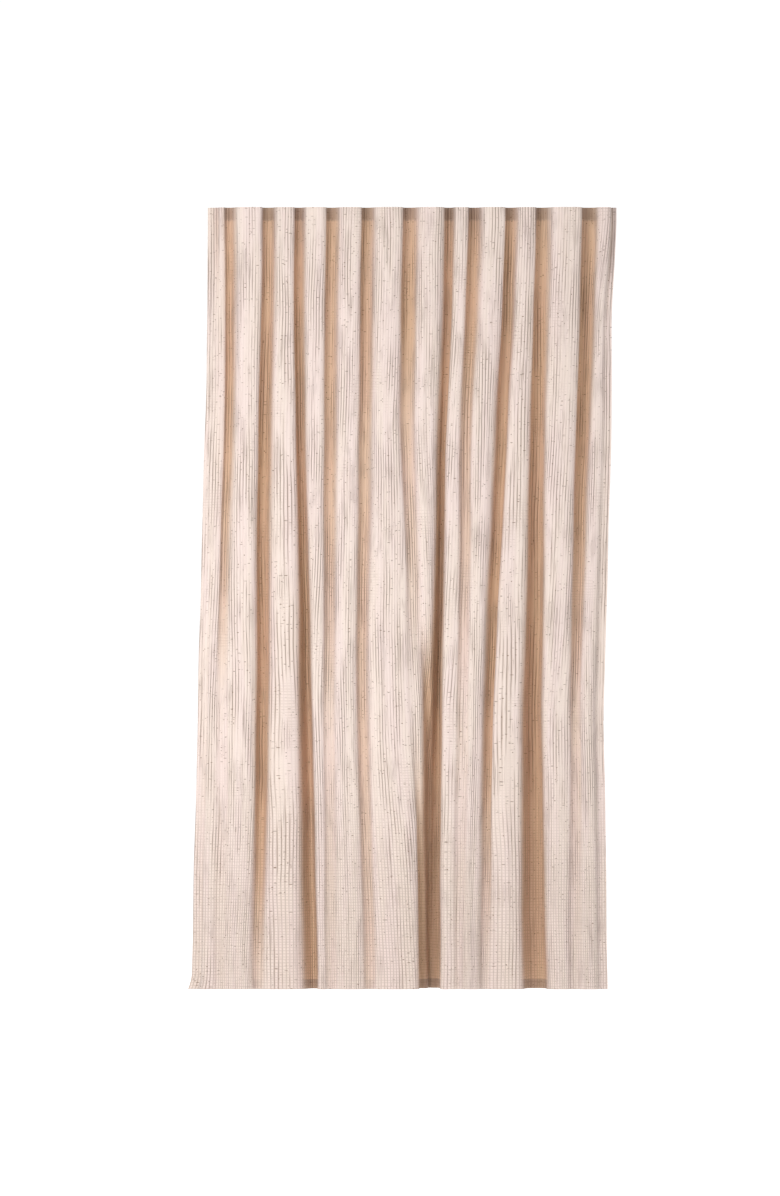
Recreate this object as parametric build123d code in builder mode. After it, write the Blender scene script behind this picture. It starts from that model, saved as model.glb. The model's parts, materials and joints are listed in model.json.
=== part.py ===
"""A fabric curtain panel hung from hooks: cloth in folds, hems, heading tape with draw cords, and hooks.

The origin is the middle of the fixed hook's crook, at the wall end of the panel. +Z is up, +X runs
along the track away from the leading edge, and the front of the curtain faces -Y.
"""

import os
from math import atan2, tan

from build123d import *

# Cloth
drop = 2500.0  # top edge to bottom edge
hung_width = 1310.0  # side edge to side edge along the track
cloth = 1.0  # double layer of light cotton
edge_inset = 16.0  # end hook to side edge
seat_rest = 5.0  # flat cloth beside a pocket before the fold turns
hook_spacing = [0.48, 1.15, 0.93, 0.99, 1.06, 1.27, 1.21, 0.75, 1.09, 0.93, 1.42, 0.72]

# Folds under the heading: how far each one comes forward of the hooks
fold_depths = [24.0, 52.0, 47.0, 50.0, 51.0, 56.0, 55.0, 43.0, 52.0, 47.0, 58.0, 44.0]
flank_run = 11.0  # sideways run of a fold's flank
crest_radius = 22.0
back_radius = 6.0

# Folds at the hem, one value for each hook: sideways drift, and place in front of or behind the hooks
hem_drift = [-50.0, -22.0, -42.0, 45.0, 22.0, 13.0, 40.0, -35.0, -46.0, -84.0, -16.0, -42.0, -32.0]
hem_backs = [-48.0, -60.0, -58.0, 8.0, -64.0, -56.0, 26.0, 24.0, -60.0, -64.0, 14.0, -58.0, -44.0]
hem_crests = [-76.0, -82.0, -92.0, -84.0, -84.0, -92.0, 12.0, -88.0, -84.0, -92.0, -86.0, -74.0]
hem_flat = 10.0  # flat of each back fold at the hem
hem_flank_run = 14.0

# Heading
header_depth = 42.0
tape_drop = 4.0  # top edge to tape
tape_width = 36.0
tape = 1.0
tape_inset = 3.0  # side edge to tape end
cord_radius = 0.8
cord_margin = 3.2  # tape edge to the middle of a cord
cord_end = 6.0  # tape end to cord end
knot_radius = 2.4
knot_length = 5.0

# Hooks, with their crooks on one line for the track's eyes
hook_width = 6.0
hook_bar = 2.4
crook_radius = 3.5
crook_drop = 20.0  # top edge to the middle of the crooks
crook_tip = 3.0  # straight tip past the crook's half circle
leg_gap = 5.0  # between the middles of a hook's two legs
hook_foot = 14.0  # middle of the crook to the lowest point of the foot's centre line
tongue_rise = 15.0  # foot to the tip of the tongue in the pocket
pocket_height = 11.0
pocket_strap = 0.6
pocket_side = 0.5  # clear each side of a hook's tongue
pocket_clear = 0.3  # clear in front of and behind a hook's tongue
pocket_drop = 4.5  # middle of the crook to the middle of a pocket

# Hems, threads and label
side_hem = 18.0
bottom_hem = 30.0
turned_hem = 2.0  # a hem turned twice
thread = 0.5
tape_stitch = 1.2  # tape edge to its row of stitches
hem_stitch = 2.5  # hem edge to its row of stitches
label_width = 28.0
label_height = 36.0
label = 0.4
label_lift = 60.0  # bottom edge to label
label_inset = 4.0  # side edge to label

# Clearances
cut_gap = 0.4  # between neighbouring fold pieces
ply_gap = 0.3  # between the cloth and what is sewn behind it
lay_gap = 0.1  # between plies that are sewn together
room_share = 0.3  # most of the room between two folds that one flank takes
corner_share = 0.46  # most of a straight stretch that one corner takes

# Heights
top = crook_drop
header_line = top - header_depth
bottom = top - drop
hem_line = bottom + bottom_hem
tape_top = top - tape_drop
tape_bottom = tape_top - tape_width

# Places behind the cloth's front face
header_front = cloth + ply_gap
tape_front = header_front + cloth + lay_gap
tape_back = tape_front + tape
hem_front = cloth + ply_gap
hem_back = hem_front + turned_hem

# Places in front of the crooks
leg_y = -(crook_radius + hook_bar / 2)
tongue_y = leg_y - leg_gap
tape_back_y = tongue_y - hook_bar / 2 - pocket_clear
fold_back = tape_back_y - tape_back

pocket_width = hook_width + 2 * (pocket_side + pocket_strap)
hooks_apart = hung_width - 2 * edge_inset
spacing_unit = hooks_apart / sum(hook_spacing)
hook_count = len(hook_spacing) + 1
hook_places = [spacing_unit * sum(hook_spacing[:i]) - hooks_apart for i in range(hook_count)]
last = hook_count - 1


def turn_at(before, corner, after):
    """Angle that a path turns at a corner, in radians, positive to the left."""
    u = Vector(corner) - Vector(before)
    v = Vector(after) - Vector(corner)
    return atan2(u.X * v.Y - u.Y * v.X, u.dot(v))


def turns_of(points):
    """The turn at each corner of a path."""
    return [turn_at(*points[i - 1 : i + 2]) for i in range(1, len(points) - 1)]


def radii_of(points, radius):
    """The radius at each corner: the wanted one, or what the straight runs beside it leave room for."""
    radii = []
    for i, turn in enumerate(turns_of(points), start=1):
        before = (Vector(points[i]) - Vector(points[i - 1])).length
        after = (Vector(points[i + 1]) - Vector(points[i])).length
        wanted = radius if turn > 0 else back_radius
        radii.append(min(wanted, corner_share * min(before, after) / tan(abs(turn) / 2)))
    return radii


def wave(backs, crests, flat, run, edge_flat):
    """The corners of the cloth's front face, from the leading edge to the fixed edge."""
    x, y = backs[0]
    points = [(x - edge_inset, y), (x + edge_flat, y)]
    for i, crest in enumerate(crests):
        x, y = backs[i]
        next_x, next_y = backs[i + 1]
        start = x + (edge_flat if i == 0 else flat / 2)
        end = next_x - (edge_flat if i == len(crests) - 1 else flat / 2)
        side = min(run, room_share * (end - start))
        points += [(start + side, crest), (end - side, crest)]
        points.append((end, next_y))
        if i < len(crests) - 1:
            points.append((next_x + flat / 2, next_y))
    points.append((backs[-1][0] + edge_inset, backs[-1][1]))
    return points


class Path:
    """A wavy path across the panel, with what is needed to move it back through the plies."""

    def __init__(self, points, turns, radii):
        self.points = points
        self.turns = turns
        self.radii = radii

    @classmethod
    def rounded(cls, points, radius):
        """A path whose front corners have one radius and whose back corners have the back folds' own."""
        return cls(points, turns_of(points), radii_of(points, radius))

    def piece(self, number):
        """The stretch of the path that belongs to one hook, from crest to crest."""
        first = max(0, 4 * number - 1)
        end = min(len(self.points), 4 * number + 3)
        inner = slice(max(0, first - 1), end - 1)
        stretch = Path(list(self.points[first:end]), self.turns[inner], self.radii[inner])
        if number > 0:
            x, y = self.points[first]
            stretch.points.insert(0, ((self.points[first - 1][0] + x + cut_gap) / 2, y))
        if number < last:
            x, y = self.points[end - 1]
            stretch.points.append(((x + self.points[end][0] - cut_gap) / 2, y))
        return stretch

    def moved(self, distance, trim=0.0):
        """The path's corners and radii, moved back by a distance and shortened at both ends."""
        points = [Vector(p) for p in self.points]
        along = [(b - a).normalized() for a, b in zip(points, points[1:])]
        back = [Vector(-d.Y, d.X) for d in along]
        out = [points[0] + back[0] * distance + along[0] * trim]
        for i in range(1, len(points) - 1):
            mitre = back[i - 1] + back[i]
            out.append(points[i] + mitre * (2 * distance / mitre.dot(mitre)))
        out.append(points[-1] + back[-1] * distance - along[-1] * trim)
        radii = [r - distance if turn > 0 else r + distance for r, turn in zip(self.radii, self.turns)]
        return out, radii

    def line(self, distance, trim=0.0):
        """Draws the moved path in the current BuildLine."""
        points, radii = self.moved(distance, trim)
        return FilletPolyline(*points, radius=radii) if radii else Polyline(*points)

    def section(self, height, front, back, trim=0.0):
        """The level section of a ply that lies between two distances behind the front face."""
        with BuildSketch(Plane.XY.offset(height)) as drawn:
            with BuildLine():
                near = self.line(front, trim)
                far = self.line(back, trim)
                Line(near @ 0, far @ 0)
                Line(near @ 1, far @ 1)
            make_face()
        return drawn.sketch


def save(part, name):
    """Labels a finished piece and writes it."""
    part.label = name
    export_step(part, f"parts/{name}.step")


def strip(path, name, front, thick, low, high, trim=0.0):
    """Makes a ply of even height that follows the folds."""
    with BuildPart() as piece:
        extrude(path.section(low, front, front + thick, trim), amount=high - low)
    save(piece.part, name)


def fall(name, upper, lower, front, thick, high, low):
    """Makes a ply that runs down the drop from one section to another."""
    with BuildPart() as piece:
        ends = ((upper, high), (lower, low))
        loft([path.section(z, front, front + thick) for path, z in ends], ruled=True)
    save(piece.part, name)


def edge_path(points, side, start, end):
    """A straight path in the flat beside a side edge, measured inwards from that edge."""
    x, y = points[0] if side < 0 else points[-1]
    return Path(sorted([(x - side * start, y), (x - side * end, y)]), [], [])


seat_flat = pocket_width + 2 * seat_rest
seat_edge = seat_flat / 2
top_backs = [(x, fold_back) for x in hook_places]
top_crests = [fold_back - depth for depth in fold_depths]
top_path = Path.rounded(wave(top_backs, top_crests, seat_flat, flank_run, seat_edge), crest_radius)
hem_points = [(x + drift, y) for x, drift, y in zip(hook_places, hem_drift, hem_backs)]
hem_wave = wave(hem_points, hem_crests, hem_flat, hem_flank_run, seat_edge)
hem_path = Path.rounded(hem_wave, crest_radius)

os.makedirs("parts", exist_ok=True)

# The cloth, cut at its front crests into one piece for each hook
for number in range(hook_count):
    upper = top_path.piece(number)
    lower = hem_path.piece(number)
    with BuildPart() as fold:
        extrude(upper.section(header_line, 0, cloth), amount=header_depth)
        loft([upper.section(header_line, 0, cloth), lower.section(hem_line, 0, cloth)], ruled=True)
        extrude(lower.section(bottom, 0, cloth), amount=bottom_hem)
    save(fold.part, f"cloth_fold_{number + 1:02d}")

# Hems, all turned to the back
strip(top_path, "header_hem", header_front, cloth, header_line, top)
strip(hem_path, "bottom_hem", hem_front, turned_hem, bottom, hem_line)
for side, name in ((-1, "leading_side_hem"), (1, "fixed_side_hem")):
    upper = edge_path(top_path.points, side, 0, side_hem)
    lower = edge_path(hem_path.points, side, 0, side_hem)
    fall(name, upper, lower, hem_front, turned_hem, header_line - lay_gap, hem_line + lay_gap)

# Heading tape and the two draw cords that run along it, knotted at both ends
strip(top_path, "heading_tape", tape_front, tape, tape_bottom, tape_top, tape_inset)
cord_levels = {"upper": tape_top - cord_margin, "lower": tape_bottom + cord_margin}
cord_depth = tape_back + lay_gap + cord_radius
cord_trim = tape_inset + cord_end
for level, height in cord_levels.items():
    with BuildLine() as route:
        top_path.line(cord_depth, cord_trim)
    run = Pos(0, 0, height) * route.wires()[0]
    with BuildPart() as cord:
        with BuildSketch(Plane(origin=run @ 0, z_dir=run % 0)):
            Circle(cord_radius)
        sweep(path=run)
    save(cord.part, f"draw_cord_{level}")
    for end, way, at in (("leading", -1, run @ 0), ("fixed", 1, run @ 1)):
        with BuildPart() as knot:
            with BuildSketch(Plane(origin=at + Vector(0, knot_radius - cord_radius), z_dir=(way, 0, 0))):
                Circle(knot_radius)
            extrude(amount=knot_length)
            fillet(knot.edges(), knot_radius / 2)
        save(knot.part, f"cord_knot_{level}_{end}")

# Hooks, each with the pocket of the tape that holds its tongue
for number, place in enumerate(hook_places, start=1):
    foot = -hook_foot
    bend = leg_gap / 2
    crook = crook_radius + hook_bar / 2
    with BuildPart() as hook:
        with BuildSketch(Plane.YZ.offset(place)):
            with BuildLine():
                Line((tongue_y, foot + tongue_rise), (tongue_y, foot + bend))
                RadiusArc((tongue_y, foot + bend), (leg_y, foot + bend), -bend)
                Line((leg_y, foot + bend), (leg_y, 0))
                RadiusArc((leg_y, 0), (crook, 0), crook)
                Line((crook, 0), (crook, -crook_tip))
            trace(line_width=hook_bar)
        extrude(amount=hook_width / 2, both=True)
    save(hook.part, f"hook_{number:02d}")
    inner_depth = hook_bar + 2 * pocket_clear
    with BuildPart() as pocket:
        with BuildSketch(Plane.XY.offset(-pocket_drop - pocket_height / 2)):
            with Locations((place, tape_back_y + (inner_depth + pocket_strap) / 2)):
                Rectangle(pocket_width, inner_depth + pocket_strap)
            with Locations((place, tape_back_y + inner_depth / 2)):
                Rectangle(pocket_width - 2 * pocket_strap, inner_depth, mode=Mode.SUBTRACT)
        extrude(amount=pocket_height)
    save(pocket.part, f"tape_pocket_{number:02d}")

# Rows of stitches, each as its thread's line on the back
for name, height in (
    ("tape_thread_upper", tape_top - tape_stitch - thread),
    ("tape_thread_lower", tape_bottom + tape_stitch),
):
    strip(top_path, name, tape_back + lay_gap, thread, height, height + thread, tape_inset)
hem_thread = hem_line - hem_stitch
strip(hem_path, "bottom_hem_thread", hem_back + lay_gap, thread, hem_thread, hem_thread + thread)
for side, end in ((-1, "leading"), (1, "fixed")):
    upper = edge_path(top_path.points, side, side_hem - hem_stitch, side_hem - hem_stitch - thread)
    lower = edge_path(hem_path.points, side, side_hem - hem_stitch, side_hem - hem_stitch - thread)
    name = f"{end}_hem_thread"
    fall(name, upper, lower, hem_back + lay_gap, thread, header_line - lay_gap, hem_line + lay_gap)

# A blank care label, sewn to the back of the fixed side hem
label_top = bottom + label_lift + label_height
share = (label_top - hem_line) / (header_line - hem_line)
low_x, low_y = hem_path.points[-1]
high_x, high_y = top_path.points[-1]
label_x = low_x + (high_x - low_x) * share - label_inset - label_width / 2
label_y = low_y + (high_y - low_y) * share + hem_back + thread + 2 * lay_gap
with BuildPart() as care_label:
    with BuildSketch(Plane.XY.offset(bottom + label_lift)):
        with Locations((label_x, label_y + label / 2)):
            Rectangle(label_width, label)
    extrude(amount=label_height)
save(care_label.part, "care_label")

for place, path in (("heading", top_path), ("hem", hem_path)):
    with BuildLine() as front_line:
        path.line(0)
    tightest = min(radius for radius, turn in zip(path.radii, path.turns) if turn > 0)
    print(f"{place}: cloth width {front_line.wires()[0].length:.0f}, tightest crest radius {tightest:.1f}")
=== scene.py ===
"""The looks of a fabric curtain panel: crinkled double cotton in soft folds, its hems, heading and hooks.

Everything is in metres in the frame's own axes: +Z up, the front of the curtain towards -Y, and the
origin in the crook of the hook that stays at the wall end. The cloth is made from the path that it takes
across the panel at each height, with folds as deep as the cloth's width needs.
"""

import json
import logging
import math
from dataclasses import dataclass, field
from enum import Enum

import bmesh
import bpy
import numpy as np
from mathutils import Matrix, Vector

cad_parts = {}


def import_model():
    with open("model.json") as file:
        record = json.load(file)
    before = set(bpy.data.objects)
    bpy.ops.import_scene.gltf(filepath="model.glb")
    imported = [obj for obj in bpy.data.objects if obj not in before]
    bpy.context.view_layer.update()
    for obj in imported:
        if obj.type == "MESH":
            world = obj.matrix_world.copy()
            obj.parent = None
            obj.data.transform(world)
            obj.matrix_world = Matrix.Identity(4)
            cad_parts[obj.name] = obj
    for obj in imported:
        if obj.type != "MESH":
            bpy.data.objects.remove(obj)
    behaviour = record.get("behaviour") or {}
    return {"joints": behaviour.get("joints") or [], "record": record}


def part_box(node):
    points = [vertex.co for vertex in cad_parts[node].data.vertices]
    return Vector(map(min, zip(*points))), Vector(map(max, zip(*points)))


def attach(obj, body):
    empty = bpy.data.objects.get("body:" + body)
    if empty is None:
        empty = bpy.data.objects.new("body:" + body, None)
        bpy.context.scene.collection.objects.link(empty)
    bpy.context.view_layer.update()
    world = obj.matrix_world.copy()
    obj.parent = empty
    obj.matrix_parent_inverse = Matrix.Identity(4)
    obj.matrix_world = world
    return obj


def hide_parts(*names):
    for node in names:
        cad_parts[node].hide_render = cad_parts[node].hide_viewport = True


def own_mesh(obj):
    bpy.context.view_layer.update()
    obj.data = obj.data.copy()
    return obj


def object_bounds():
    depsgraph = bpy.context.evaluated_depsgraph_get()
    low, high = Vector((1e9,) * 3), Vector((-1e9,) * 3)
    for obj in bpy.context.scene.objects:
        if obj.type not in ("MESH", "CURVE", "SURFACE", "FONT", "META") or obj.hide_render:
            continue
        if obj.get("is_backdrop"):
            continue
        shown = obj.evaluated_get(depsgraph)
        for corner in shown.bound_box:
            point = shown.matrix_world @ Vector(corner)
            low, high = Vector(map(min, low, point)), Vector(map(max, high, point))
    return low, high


log = logging.getLogger("curtain")

MM = 0.001
ROOT = "wall_end"
DRAW = "draw"
FLAT = "FlatCloth"
Socket = bpy.types.NodeSocket
Piece = bpy.types.Object
Colour = tuple[float, float, float]


class Side(Enum):
    """A side edge of the panel, with the way that it faces along the track."""

    LEADING = -1
    FIXED = 1


@dataclass(frozen=True)
class Fold:
    """The back fold at one hook, told at the panel's five levels.

    Args:
        drift: How far it wanders sideways from its hook, in millimetres.
        share: Its depth as a share of a full fold's.
        half: Half the width of its hollow's floor, in millimetres.
        lean: 1 where its left flank is crisp and its right one soft, and -1 the other way round.
    """

    drift: tuple[float, ...]
    share: tuple[float, ...]
    half: tuple[float, ...] = (17.0, 17.0, 16.0, 14.0, 14.0)
    lean: tuple[float, ...] = (1.0, 0.8, 0.5, 0.0, 0.0)


LEVELS = (0.0, 0.12, 0.26, 0.63, 1.0)
FOLDS = (
    Fold((0, -2, -6, -32, -50), (1.0, 0.45, 0.3, 0.22, 0.26)),
    Fold((0, 2, 0, -22, -26), (1.0, 0.95, 0.8, 0.12, 0.12), (11, 11, 12, 12, 12)),
    Fold((0, -4, -13, -16, -30), (1.0, 1.0, 1.0, 0.8, 0.20), lean=(1, 1, 0.8, 0, 0)),
    Fold((0, 0, 3, 34, 50), (1.0, 1.0, 1.0, 0.9, 0.66), (13, 13, 12, 12, 14), (1, 1, 0.8, -0.5, -0.8)),
    Fold((0, -2, -6, -4, 0), (1.0, 0.9, 0.7, 0.22, 0.16)),
    Fold((0, -3, -6, -13, 13), (1.0, 0.9, 0.65, 0.35, 0.24), lean=(1, 0.6, 0.4, 0, 0)),
    Fold((0, -4, -9, 30, 46), (1.0, 1.0, 0.6, 0.06, 0.8), (20, 20, 18, 14, 15), (1, 0.5, 0.3, 1.0, 0.8)),
    Fold((0, -4, -13, -34, -40), (1.0, 1.0, 1.0, 1.1, 1.1), (14, 13, 11, 10, 15), (0.6, 0, -0.8, -1, -1)),
    Fold((0, -8, -22, -35, -44), (1.0, 0.9, 0.6, 0.16, 0.12), lean=(1, 0.5, 0, 0, 0)),
    Fold((0, -10, -24, -62, -84), (1.0, 1.0, 1.0, 0.5, 0.14), lean=(1, 0.6, -0.4, -1, -0.5)),
    Fold((0, -4, -13, -22, -18), (1.0, 1.0, 1.0, 0.95, 0.85), (18, 19, 19, 23, 33), (1, 0.8, 0.3, -0.4, 0)),
    Fold((0, -8, -22, -42, -42), (1.0, 1.0, 0.95, 0.25, 0.12), (24, 23, 20, 15, 14), (1, 1, 0.8, 0.3, 0)),
    Fold((0, -16, -19, -42, -32), (1.0, 0.35, 0.25, 0.22, 0.2), (4, 6, 8, 12, 14)),
)
# The front fold between the sixth and seventh hooks after the edge sinks back into the widest hollow.
SINKING_CREST = 6
SINKING = (1.0, 1.0, 0.85, 0.1, -0.12)
SINKING_LEVELS = (0.0, 0.35, 0.52, 0.70, 1.0)
CREST_DEPTHS = (24.0, 52.0, 47.0, 50.0, 51.0, 56.0, 55.0, 43.0, 52.0, 47.0, 58.0, 44.0)


def smooth_field(rng: np.random.Generator, shape: tuple[int, int], blur: tuple[float, float]) -> np.ndarray:
    """A random field of unit spread that is smooth over a given number of cells.

    Args:
        rng: The source of random numbers.
        shape: Rows and columns.
        blur: How many cells it is smooth over, down and across.

    Returns:
        The field, one value for each cell.
    """
    noise = np.fft.rfft2(rng.standard_normal(shape))
    down = np.fft.fftfreq(shape[0])[:, None] * blur[0]
    across = np.fft.rfftfreq(shape[1])[None, :] * blur[1]
    noise *= np.exp(-2 * math.pi**2 * (down**2 + across**2))
    made = np.fft.irfft2(noise, s=shape)
    made -= made.mean()
    return made / made.std()


def told(values: tuple[float, ...], at: np.ndarray, levels: tuple[float, ...] = LEVELS) -> np.ndarray:
    """Values given at the five levels, drawn smoothly through every level asked for."""
    fine = np.linspace(-0.25, 1.25, 601)
    line = np.interp(fine, levels, values)
    width = 25
    window = np.hanning(2 * width + 1)
    window /= window.sum()
    line = np.convolve(np.pad(line, width, mode="edge"), window, mode="valid")
    return np.interp(at, fine, line)


def grid_faces(rows: int, columns: int) -> np.ndarray:
    """The quads of a grid of points, numbered row by row."""
    corner = (np.arange(rows - 1)[:, None] * columns + np.arange(columns - 1)[None, :]).ravel()
    return np.stack([corner, corner + columns, corner + columns + 1, corner + 1], axis=1)


def mesh_piece(name: str, points: np.ndarray, faces: np.ndarray, flat: np.ndarray | None = None) -> Piece:
    """Makes a smooth mesh object from points and quads.

    Args:
        name: The piece's name.
        points: One row for each vertex, in metres.
        faces: One row of four vertex numbers for each face.
        flat: Where each vertex lies on the flat cloth, in metres, for the UV map.

    Returns:
        The new object, in the scene.
    """
    mesh = bpy.data.meshes.new(name)
    mesh.from_pydata(points.tolist(), [], faces.tolist())
    mesh.polygons.foreach_set("use_smooth", [True] * len(faces))
    if flat is not None:
        layer = mesh.uv_layers.new(name=FLAT)
        layer.data.foreach_set("uv", flat[faces.ravel()].astype(np.float32).ravel())
    mesh.validate()
    mesh.update()
    piece = bpy.data.objects.new(name, mesh)
    bpy.context.scene.collection.objects.link(piece)
    return piece


def grid_piece(
    name: str, grid: np.ndarray, along: np.ndarray | None = None, over: np.ndarray | None = None
) -> Piece:
    """Makes a smooth mesh object from rows and columns of points.

    Args:
        name: The piece's name.
        grid: The points, row by row.
        along: Where each column lies on the flat cloth, in metres.
        over: Where each row lies on the flat cloth, in metres.

    Returns:
        The new object, in the scene.
    """
    flat = None if along is None else np.dstack(np.meshgrid(along, over)).reshape(-1, 2)
    return mesh_piece(name, grid.reshape(-1, 3), grid_faces(*grid.shape[:2]), flat)


def run_of(path: np.ndarray) -> np.ndarray:
    """How far along a path each of its points lies."""
    return np.concatenate([[0], np.cumsum(np.linalg.norm(np.diff(path, axis=0), axis=1))])


@dataclass
class Weave:
    """The cloth's own sizes, in metres."""

    drop: float
    heading: float = 42 * MM
    soft_fold: float = 0.75 * MM
    fine_fold: float = 0.35 * MM
    gather_height: float = 1.2 * MM
    columns: int = 960
    seed: int = 11


@dataclass
class HangingCloth:
    """The hung cloth: where any point of the flat cloth lies, for the cloth and all that is sewn to it."""

    hooks: list[float]
    top: float
    back: float
    weave: Weave
    deepest: float
    edge_inset: float = 16 * MM
    front_bottom: float = -92 * MM
    corner_kick: float = 12 * MM
    corner_rise: float = 60 * MM
    give: float = 0.85
    heights: np.ndarray = field(init=False)
    width: float = field(init=False)
    points: np.ndarray = field(init=False)
    normals: np.ndarray = field(init=False)
    # The mask for the painted shade in the hollows, from 0 to 1.
    painted_hollow_shade: np.ndarray = field(init=False)

    def __post_init__(self) -> None:
        """Works out every row of the cloth, from the top edge down."""
        w = self.weave
        head = np.linspace(0, w.heading, 6)
        upper = np.linspace(w.heading, 0.16, 10)[1:]
        body = np.linspace(0.16, w.drop - 0.07, 83)[1:]
        low = np.linspace(w.drop - 0.07, w.drop, 7)[1:]
        self.heights = np.concatenate([head, upper, body, low])
        shares = np.clip((self.heights - w.heading) / (w.drop - w.heading), 0, 1)
        self._settle_story(shares)
        first = self._path(0, self._depth_at_top())
        self.width = float(run_of(first)[-1])
        self.hook_along = self._hooks_along(first, 0) * self.width
        rows = [self._resampled(self._fitted(i), i) for i in range(len(shares))]
        plan = np.array(rows)
        spread = [run_of(row)[-1] for row in plan]
        log.info("cloth rows are %.3f to %.3f m long", min(spread), max(spread))
        z = np.repeat((self.top - self.heights)[:, None], w.columns, axis=1)
        near = np.clip(1 - (w.drop - self.heights) / self.corner_rise, 0, 1)[:, None] ** 2
        along = np.linspace(0, self.width, w.columns)[None, :]
        plan[:, :, 0] -= self.corner_kick * near * np.exp(-((along / self.corner_rise) ** 2))
        self.points = np.dstack([plan, z])
        self._normals()
        self._painted_hollow_shade_mask()
        self._crinkle()

    def _settle_story(self, shares: np.ndarray) -> None:
        """Draws each fold's place, depth and width through the rows, with a little natural wander."""
        rng = np.random.default_rng(self.weave.seed)
        rows = len(shares)

        def wander(size: float) -> np.ndarray:
            """A slow wave of about the given size down the rows."""
            waves = [
                np.sin(2 * math.pi * (shares * rate + rng.random())) * share
                for rate, share in ((1.7, 0.6), (3.9, 0.4), (7.3, 0.2))
            ]
            return 0.8 * size * np.sum(waves, axis=0) * np.clip(shares * 9, 0, 1)

        drifts = [told(f.drift, shares) * MM + wander(2.6 * MM) for f in FOLDS]
        self.fold_x = np.array(self.hooks)[:, None] + np.array(drifts)
        self.fold_share = np.array([told(f.share, shares) * (1 + wander(0.05)) for f in FOLDS])
        self.fold_half = np.array([told(f.half, shares) * MM for f in FOLDS])
        self.fold_lean = np.array([told(f.lean, shares) for f in FOLDS])
        mean = self._depth_at_top()
        front_top = self.back - mean
        self.front = front_top + (self.front_bottom - front_top) * told((0, 0.2, 0.4, 0.8, 1.0), shares)
        more = [(depth * MM - mean) * (1 - shares) + wander(1.6 * MM) for depth in CREST_DEPTHS]
        self.crest_more = np.array(more)
        self.crest_reach = np.ones((len(CREST_DEPTHS), rows))
        self.crest_reach[SINKING_CREST] = told(SINKING, shares, SINKING_LEVELS)

    def _depth_at_top(self) -> float:
        """The depth of a full fold under the heading."""
        return float(np.mean(CREST_DEPTHS[1:])) * MM

    def _path(self, row: int, depth: float) -> np.ndarray:
        """The path of the cloth at one row for a given depth of a full fold.

        Args:
            row: Which row.
            depth: How far behind the front a full fold goes.

        Returns:
            Closely spaced points of the path, in plan.
        """
        front = self.front[row]
        xs, halves, leans = self.fold_x[:, row], self.fold_half[:, row], self.fold_lean[:, row]
        backs = np.minimum(front + self.fold_share[:, row] * depth, self.deepest)
        sunk = (1 - self.crest_reach[:, row]) * depth
        crests = np.minimum(front - self.crest_more[:, row] + sunk, self.deepest)
        control = [(xs[0] - self.edge_inset, backs[0]), (xs[0] - 0.4 * self.edge_inset, backs[0])]
        for i, crest in enumerate(crests):
            left, right = xs[i] + halves[i], xs[i + 1] - halves[i + 1]
            rise, fall = backs[i] - crest, backs[i + 1] - crest
            start = self._flank(left, right - left, backs[i], rise, leans[i])
            end = self._flank(right, left - right, backs[i + 1], fall, -leans[i + 1])
            middle = (0.5 * (start[-1][0] + end[-1][0]), crest)
            control += [(xs[i], backs[i]), (xs[i] + 0.55 * halves[i], backs[i]), *start, middle, *end[::-1]]
            control.append((xs[i + 1] - 0.55 * halves[i + 1], backs[i + 1]))
        control.append((xs[-1], backs[-1]))
        control.append((xs[-1] + 0.4 * self.edge_inset, backs[-1]))
        control.append((xs[-1] + self.edge_inset, backs[-1]))
        return self._spline(np.array(control))

    @staticmethod
    def _flank(foot: float, span: float, back: float, rise: float, lean: float) -> list[tuple[float, float]]:
        """The points of one flank, from a hollow's floor to the crest's shoulder.

        Args:
            foot: Where the floor of the hollow ends.
            span: The crest's whole width, negative for a flank that climbs towards the leading edge.
            back: How far back the floor is.
            rise: The height of the flank.
            lean: 1 for a soft flank and -1 for a crisp one that overhangs the hollow.

        Returns:
            Its three control points.
        """
        soft = max(0.5 + 0.5 * lean, 1 - min(1.0, abs(rise) / 0.04))
        crisp = np.array((-0.02, -0.06, 0.07))
        wide = np.array((0.07, 0.16, 0.33))
        lifts = np.array((0.25, 0.72, 0.97))
        return list(zip(foot + (crisp + (wide - crisp) * soft) * span, back - lifts * rise))

    @staticmethod
    def _spline(control: np.ndarray, steps: int = 14) -> np.ndarray:
        """A cubic B-spline through a row of control points, which starts and ends on its own ends."""
        ends = np.concatenate([[2 * control[0] - control[1]], control, [2 * control[-1] - control[-2]]])
        t = np.linspace(0, 1, steps, endpoint=False)[:, None, None]
        a, b, c, d = ends[:-3], ends[1:-2], ends[2:-1], ends[3:]
        made = a * (1 - t) ** 3 + b * (3 * t**3 - 6 * t**2 + 4)
        made = (made + c * (-3 * t**3 + 3 * t**2 + 3 * t + 1) + d * t**3) / 6
        return np.concatenate([made.transpose(1, 0, 2).reshape(-1, 2), control[-1:]])

    def _fitted(self, row: int) -> np.ndarray:
        """The path at a row with folds just deep enough to take up the cloth's whole width."""
        if self.heights[row] <= self.weave.heading:
            return self._path(row, self._depth_at_top())
        low, high = 0.5 * self._depth_at_top(), 2.1 * self._depth_at_top()
        for _ in range(14):
            middle = (low + high) / 2
            if run_of(self._path(row, middle))[-1] < self.width:
                low = middle
            else:
                high = middle
        return self._path(row, (low + high) / 2)

    def _hooks_along(self, path: np.ndarray, row: int) -> np.ndarray:
        """How far along a path each back fold lies, as a share of the path's length."""
        along = run_of(path)
        near = np.abs(path[None, :, 0] - self.fold_x[:, row, None])
        behind = path[None, :, 1].max() - path[None, :, 1]
        return along[np.argmin(near + 0.15 * behind, axis=1)] / along[-1]

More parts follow.
